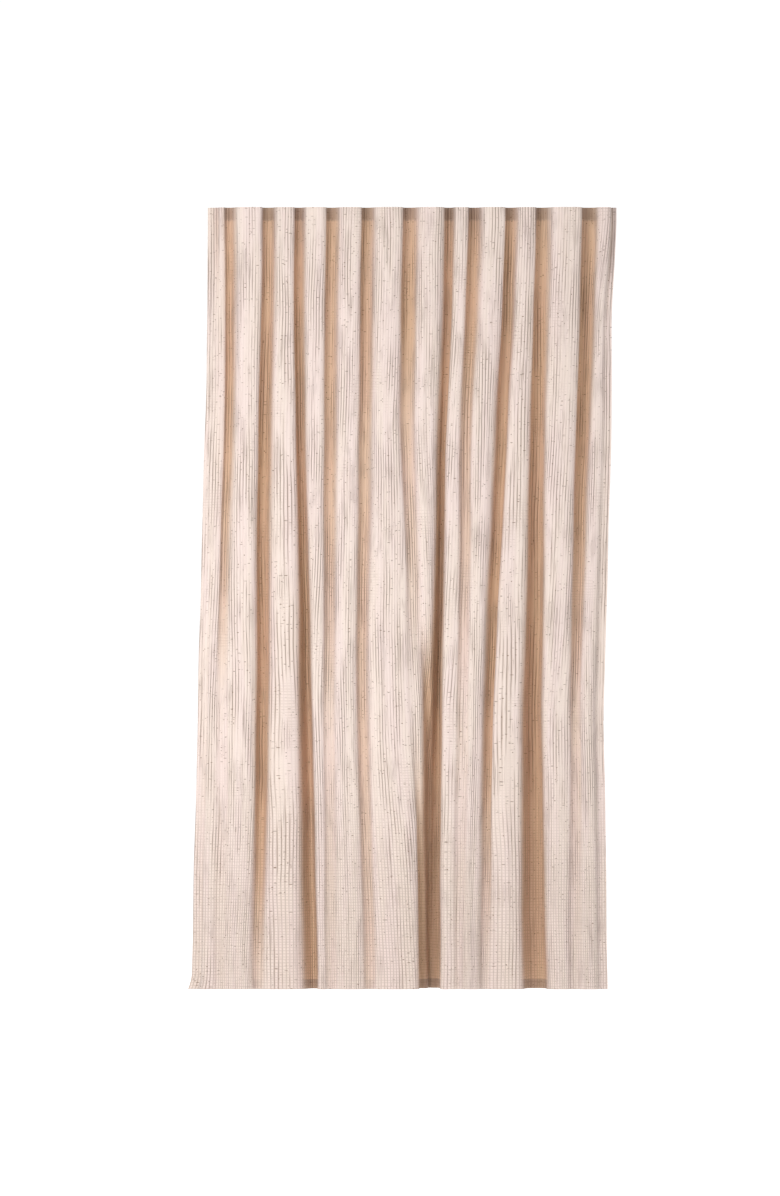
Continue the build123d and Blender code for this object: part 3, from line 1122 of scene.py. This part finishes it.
@dataclass
class Hook:
    """A moulded tape hook with its pocket of the tape, at one place on the track."""

    number: int
    place: float
    body: str
    bar: float = 2.4 * MM
    width: float = 6 * MM
    crook: float = 3.5 * MM
    leg_gap: float = 5 * MM
    foot: float = -14 * MM
    rise: float = 15 * MM
    tip: float = 3 * MM
    round: float = 0.7 * MM

    def _line(self) -> np.ndarray:
        """The middle line of the bar, from the tongue in the pocket to the tip of the crook."""
        reach = self.crook + self.bar / 2
        leg, bend = -reach, self.leg_gap / 2
        tongue = leg - self.leg_gap
        half = np.linspace(0, math.pi, 13)
        up = np.linspace(self.foot + self.rise, self.foot + bend, 6)[:-1]
        points = [(tongue, z) for z in up]
        points += [(tongue + bend - bend * math.cos(a), self.foot + bend - bend * math.sin(a)) for a in half]
        points += [(leg, z) for z in np.linspace(self.foot + bend, 0, 7)[1:-1]]
        points += [(-reach * math.cos(a), reach * math.sin(a)) for a in half]
        points += [(reach, -z) for z in np.linspace(0, self.tip, 4)[1:]]
        return np.array(points)

    def build(self, shop: Shop) -> Piece:
        """Makes the hook with rounded edges, a tapered tongue and a rounded tip."""
        line = self._line()
        along = np.gradient(line, axis=0)
        along /= np.linalg.norm(along, axis=1, keepdims=True)
        side = np.stack([-along[:, 1], along[:, 0]], axis=1)
        flat_bar, flat_width = self.bar / 2 - self.round, self.width / 2 - self.round
        ring = []
        for i, (a, b) in enumerate(((1, 1), (-1, 1), (-1, -1), (1, -1))):
            for angle in np.linspace(0, math.pi / 2, 4) + i * math.pi / 2:
                corner = self.round * math.cos(angle), self.round * math.sin(angle)
                ring.append((a * flat_bar + corner[0], b * flat_width + corner[1]))
        ring.append(ring[0])
        count = len(line)
        taper = np.ones(count)
        taper[:3] = (0.35, 0.72, 0.93)
        taper[-2:] = (0.9, 0.55)
        sides = []
        for bar, wide in ring:
            moved = line + side * (bar * taper)[:, None]
            sides.append(np.stack([self.place + wide * taper, moved[:, 0], moved[:, 1]], axis=1))
        grid = np.array(sides)
        points = np.concatenate([grid.reshape(-1, 3), np.mean(grid[:-1, [0, -1]], axis=0)])
        foot, tip = len(points) - 2, len(points) - 1
        starts = np.arange(len(ring) - 1) * count
        caps = [(foot, a, a + count) for a in starts.tolist()]
        caps += [(tip, a + 2 * count - 1, a + count - 1) for a in starts.tolist()]
        mesh = bpy.data.meshes.new(f"hook_{self.number:02d}_moulded")
        mesh.from_pydata(points.tolist(), [], grid_faces(len(ring), count).tolist() + caps)
        mesh.polygons.foreach_set("use_smooth", [True] * len(mesh.polygons))
        piece = bpy.data.objects.new(mesh.name, mesh)
        bpy.context.scene.collection.objects.link(piece)
        tidy_shell(piece)
        return shop.moulded(piece, "hook_plastic", self.body, f"hook_{self.number:02d}")

    def pocket(self, shop: Shop, tape_back: float) -> Piece:
        """Makes the woven strap that holds the hook's tongue, riding with the hook."""
        inner = self.bar + 0.6 * MM
        half = self.width / 2 + 0.5 * MM
        strap = 0.6 * MM
        bend = 0.9 * MM
        outline = [(-half - strap, 0.0), (-half - strap, inner + strap - bend)]
        outline += [(-half - strap + bend, inner + strap), (half + strap - bend, inner + strap)]
        outline += [(half + strap, inner + strap - bend), (half + strap, 0.0), (half, 0.0)]
        inside = [(half, inner - bend * 0.4), (half - bend * 0.4, inner)]
        outline += inside + [(-x, y) for x, y in inside[::-1]] + [(-half, 0.0)]
        loop = np.array(outline + outline[:1])
        down = np.linspace(1.0 * MM, -10.0 * MM, 9)
        sag = 1 - 0.05 * np.abs(np.linspace(-1, 1, 9)) ** 3
        x, z = np.meshgrid(self.place + loop[:, 0], down)
        grid = np.dstack([x, tape_back + loop[None, :, 1] * sag[:, None], z])
        piece = grid_piece(f"tape_pocket_{self.number:02d}_woven", grid, run_of(loop), down)
        return shop.moulded(piece, "heading_tape", self.body, f"tape_pocket_{self.number:02d}")


def tidy_shell(piece: Piece) -> None:
    """Merges doubled points and turns a closed shell's faces outwards."""
    work = bmesh.new()
    work.from_mesh(piece.data)
    bmesh.ops.remove_doubles(work, verts=work.verts, dist=1e-6)
    bmesh.ops.recalc_face_normals(work, faces=work.faces)
    work.to_mesh(piece.data)
    work.free()


@dataclass
class StitchRow:
    """A row of stitches, laid along a line by a Geometry Nodes tree."""

    pitch: float = 3.4 * MM
    length: float = 2.7 * MM
    thickness: float = 0.32 * MM
    seed: int = 5

    def _sizes(self) -> tuple[tuple[str, float], ...]:
        """The tree's inputs and their values."""
        return ("Pitch", self.pitch), ("Length", self.length), ("Thickness", self.thickness)

    def tree(self, finish: bpy.types.Material) -> bpy.types.NodeTree:
        """Builds the tree: points along the line, a stitch on each, made real and dressed.

        Args:
            finish: The thread's material.

        Returns:
            The tree, with its sizes as named inputs.
        """
        group = bpy.data.node_groups.new("stitch_row", "GeometryNodeTree")
        face = group.interface
        face.new_socket("Geometry", in_out="INPUT", socket_type="NodeSocketGeometry")
        for name, value in self._sizes():
            face.new_socket(name, in_out="INPUT", socket_type="NodeSocketFloat").default_value = value
        face.new_socket("Geometry", in_out="OUTPUT", socket_type="NodeSocketGeometry")
        node = group.nodes.new
        start, end = node("NodeGroupInput"), node("NodeGroupOutput")
        curve = node("GeometryNodeMeshToCurve")
        spaced = node("GeometryNodeCurveToPoints")
        spaced.mode = "LENGTH"
        stitch = node("GeometryNodeMeshUVSphere")
        for name, value in (("Segments", 6), ("Rings", 5), ("Radius", 0.5)):
            stitch.inputs[name].default_value = value
        size = node("ShaderNodeCombineXYZ")
        shaped = node("GeometryNodeTransform")
        uneven = node("FunctionNodeRandomValue")
        uneven.data_type = "FLOAT"
        uneven.inputs["Seed"].default_value = self.seed
        for name, value in (("Min", 0.9), ("Max", 1.06)):
            next(s for s in uneven.inputs if s.name == name and s.type == "VALUE").default_value = value
        placed = node("GeometryNodeInstanceOnPoints")
        real = node("GeometryNodeRealizeInstances")
        dress = node("GeometryNodeSetMaterial")
        dress.inputs["Material"].default_value = finish
        links = (
            (start.outputs["Geometry"], curve, "Mesh"),
            (curve.outputs["Curve"], spaced, "Curve"),
            (start.outputs["Pitch"], spaced, "Length"),
            (start.outputs["Thickness"], size, "X"),
            (start.outputs["Thickness"], size, "Y"),
            (start.outputs["Length"], size, "Z"),
            (stitch.outputs["Mesh"], shaped, "Geometry"),
            (size.outputs["Vector"], shaped, "Scale"),
            (spaced.outputs["Points"], placed, "Points"),
            (spaced.outputs["Rotation"], placed, "Rotation"),
            (shaped.outputs["Geometry"], placed, "Instance"),
            (next(s for s in uneven.outputs if s.type == "VALUE"), placed, "Scale"),
            (placed.outputs["Instances"], real, "Geometry"),
            (real.outputs["Geometry"], dress, "Geometry"),
            (dress.outputs["Geometry"], end, "Geometry"),
        )
        for out, into, name in links:
            group.links.new(out, into.inputs[name])
        return group

    def sew(self, name: str, line: np.ndarray, group: bpy.types.NodeTree) -> Piece:
        """Lays the stitches along a line and turns them into a plain mesh."""
        mesh = bpy.data.meshes.new(f"{name}_line")
        edges = [(i, i + 1) for i in range(len(line) - 1)]
        mesh.from_pydata(line.tolist(), edges, [])
        carrier = bpy.data.objects.new(f"{name}_line", mesh)
        bpy.context.scene.collection.objects.link(carrier)
        modifier = carrier.modifiers.new("stitches", "NODES")
        modifier.node_group = group
        sockets = {s.name: s.identifier for s in group.interface.items_tree if s.in_out == "INPUT"}
        for label, value in self._sizes():
            modifier[sockets[label]] = value
        done = carrier.evaluated_get(bpy.context.evaluated_depsgraph_get())
        made = bpy.data.meshes.new_from_object(done)
        made.name = name
        bpy.data.objects.remove(carrier)
        bpy.data.meshes.remove(mesh)
        piece = bpy.data.objects.new(name, made)
        bpy.context.scene.collection.objects.link(piece)
        made.polygons.foreach_set("use_smooth", [True] * len(made.polygons))
        return piece


@dataclass
class Seams:
    """Every row of stitches on the panel, on its back and showing through to its front."""

    shop: Shop
    heading: Heading
    hems: Hems
    tape_stitch: float = 1.4 * MM
    hem_stitch: float = 2.7 * MM
    rows: StitchRow = field(default_factory=StitchRow)

    def build(self) -> list[Piece]:
        """Makes the rows that follow the width and those that follow the drop."""
        cloth, drop = self.shop.cloth, self.shop.cloth.weave.drop
        group = self.rows.tree(self.shop.finishes["sewing_thread"])
        head = self.heading
        made = []
        across = np.linspace(4 * MM, cloth.width - 4 * MM, 1900)
        levels = (
            ("tape_thread_upper", head.tape_drop + self.tape_stitch, head.far + 0.05 * MM),
            ("tape_thread_lower", head.tape_drop + head.tape_width - self.tape_stitch, head.far + 0.05 * MM),
            ("bottom_hem_thread", drop - self.hems.bottom + self.hem_stitch, self.hems.far + 0.05 * MM),
        )
        for name, down, behind in levels:
            made += self._both_sides(name, across, np.array(down), behind, group)
        fall = np.linspace(self.hems.header, drop - self.hems.bottom, 1200)
        inset = self.hems.side - self.hem_stitch
        for side, u in ((Side.LEADING, inset), (Side.FIXED, cloth.width - inset)):
            name = f"{side.name.lower()}_hem_thread"
            made += self._both_sides(name, np.array(u), fall, self.hems.far + 0.05 * MM, group)
        return made

    def _both_sides(
        self, name: str, u: np.ndarray, down: np.ndarray, behind: float, group: bpy.types.NodeTree
    ) -> list[Piece]:
        """Sews one row behind the cloth and the same row on its front.

        Args:
            name: The thread's node.
            u: Where the row runs along the width.
            down: Where it runs below the top edge.
            behind: How far behind the cloth the back row lies.
            group: The stitches' tree.

        Returns:
            The back row and the front row, attached to the wall end.
        """
        made = []
        for face, depth, nodes in (("back", behind, (name,)), ("front", -0.05 * MM, ())):
            line = self.shop.cloth.at(u, down, np.array(depth))
            piece = self.rows.sew(f"{name}_{face}", line, group)
            made.append(self.shop.sewn(piece, "sewing_thread", *nodes))
        return made


@dataclass
class CareLabel:
    """A blank satin label, folded double and sewn to the back of the fixed side hem."""

    shop: Shop
    hems: Hems
    inset: float = 1.5 * MM

    def build(self) -> Piece:
        """Makes the label on the back of the side hem, bowed a little and lifting at its lower edge."""
        low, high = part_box("care_label")
        cloth = self.shop.cloth
        columns, rows = 15, 19
        edge = cloth.width - self.inset
        u = np.linspace(edge - (high[0] - low[0]), edge, columns)[None, :]
        down = np.linspace(cloth.top - high[2], cloth.top - low[2], rows)[:, None]
        fallen = np.linspace(0, 1, rows)[:, None]
        bow = 1.2 * MM * np.sin(np.linspace(0, math.pi, columns))[None, :] * fallen
        behind = self.hems.far + 0.45 * MM + bow + 1.5 * MM * fallen**2
        piece = grid_piece("care_label_blank", cloth.at(u, down, behind)[:, ::-1])
        solid = piece.modifiers.new("thickness", "SOLIDIFY")
        solid.thickness = 0.35 * MM
        done = piece.evaluated_get(bpy.context.evaluated_depsgraph_get())
        thick = bpy.data.meshes.new_from_object(done)
        piece.modifiers.clear()
        piece.data = thick
        return self.shop.sewn(piece, "label", "care_label")


@dataclass
class Studio:
    """The camera, the pale floor and the soft lights round the curtain's box."""

    low: Vector
    high: Vector
    distance: float = 26.0
    view_share: float = 1.533
    middle: float = -0.7105

    def camera(self) -> None:
        """Sets the camera square to the panel, far off with a long lens, as such a panel is shown."""
        tall = self.high.z - self.low.z
        data = bpy.data.cameras.new("camera")
        camera = bpy.data.objects.new("camera", data)
        bpy.context.scene.collection.objects.link(camera)
        data.sensor_width = 36.0
        data.lens = data.sensor_width * self.distance / (tall * self.view_share)
        data.clip_end = 200.0
        camera.location = (self.middle, -self.distance, (self.low.z + self.high.z) / 2)
        camera.rotation_euler = (math.radians(90), 0, 0)
        bpy.context.scene.camera = camera

    def floor(self) -> None:
        """Lays a wide pale floor a little below the hem."""
        level = self.low.z - 0.05
        x, y = np.meshgrid(np.linspace(-60, 60, 7), np.linspace(-40, 60, 7))
        piece = grid_piece("studio_floor", np.dstack([x, y, np.full(x.shape, level)])[:, ::-1])
        made = bpy.data.materials.new("pale_floor")
        made.use_nodes = True
        shader = made.node_tree.nodes["Principled BSDF"]
        shader.inputs["Base Color"].default_value = (0.9, 0.9, 0.9, 1.0)
        shader.inputs["Roughness"].default_value = 0.9
        shader.inputs["Emission Color"].default_value = (1.0, 1.0, 1.0, 1.0)
        shader.inputs["Emission Strength"].default_value = 0.8
        piece.data.materials.append(made)
        piece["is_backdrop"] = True

    def lights(self) -> None:
        """Sets a soft key from the left front, a fill behind, and an even surround that looks white."""
        world = bpy.data.worlds.new("studio")
        world.use_nodes = True
        tree = world.node_tree
        dim = tree.nodes["Background"]
        dim.inputs["Color"].default_value = (1.0, 0.99, 0.98, 1.0)
        dim.inputs["Strength"].default_value = 0.34
        white = tree.nodes.new("ShaderNodeBackground")
        white.inputs["Color"].default_value = (1.0, 1.0, 1.0, 1.0)
        white.inputs["Strength"].default_value = 1.05
        seen = tree.nodes.new("ShaderNodeLightPath")
        mixed = tree.nodes.new("ShaderNodeMixShader")
        tree.links.new(seen.outputs["Is Camera Ray"], mixed.inputs[0])
        tree.links.new(dim.outputs[0], mixed.inputs[1])
        tree.links.new(white.outputs[0], mixed.inputs[2])
        tree.links.new(mixed.outputs[0], tree.nodes["World Output"].inputs["Surface"])
        bpy.context.scene.world = world
        bpy.context.scene.view_settings.view_transform = "Standard"
        self._area("key", (-2.3, -3.5, -0.75), (-0.65, 0.0, -1.05), 1.4, 66.0)
        self._area("back_fill", (2.6, 5.4, 0.2), (-0.65, 0.0, -1.1), 2.0, 110.0)

    @staticmethod
    def _area(name: str, place: Colour, target: Colour, size: float, power: float) -> None:
        """Adds a square area light that points at a target."""
        data = bpy.data.lights.new(name, "AREA")
        data.size = size
        data.energy = power
        lamp = bpy.data.objects.new(name, data)
        bpy.context.scene.collection.objects.link(lamp)
        lamp.location = place
        aim = Vector(target) - Vector(place)
        lamp.rotation_euler = aim.to_track_quat("-Z", "Y").to_euler()


def main() -> None:
    """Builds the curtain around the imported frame."""
    logging.basicConfig(level=logging.INFO, format="%(name)s: %(message)s")
    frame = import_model()
    cad_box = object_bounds()
    low, high = (Vector(corner) for corner in cad_box)
    studio = Studio(low, high)
    studio.camera()
    studio.floor()
    studio.lights()

    crooks = sorted(m["pos_m"][0] for m in frame["record"]["mounts"])
    joint = next(j for j in frame["joints"] if j["name"] == DRAW)
    keep = 1 - joint["range_m"][1] / (crooks[-1] - crooks[0])
    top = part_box("header_hem")[1][2]
    tape_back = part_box("heading_tape")[1][1]
    back = tape_back - Heading.far + 0.2 * MM
    cloth = HangingCloth(crooks, top, back, Weave(drop=high.z - low.z), high.y + 8 * MM)
    log.info("cloth %.3f m wide when flat, drawn back to %.2f of its width", cloth.width, keep)

    shop = Shop(cloth, keep)
    sheets = Panel(shop)
    panel, behind = sheets.build(), sheets.back()
    hems, heading = Hems(shop), Heading(shop)
    sewn = [behind] + hems.build() + heading.build()
    sewn += Seams(shop, heading, hems).build()
    sewn.append(CareLabel(shop, hems).build())
    bodies = frame["record"]["behaviour"]["bodies"]
    for number, place in enumerate(crooks, start=1):
        node = f"hook_{number:02d}"
        body = next(name for name, nodes in bodies.items() if node in nodes)
        hook = Hook(number, place, body)
        hook.build(shop)
        hook.pocket(shop, tape_back)
        log.info("%s rides on %s", node, body)


if __name__ == "__main__":
    main()
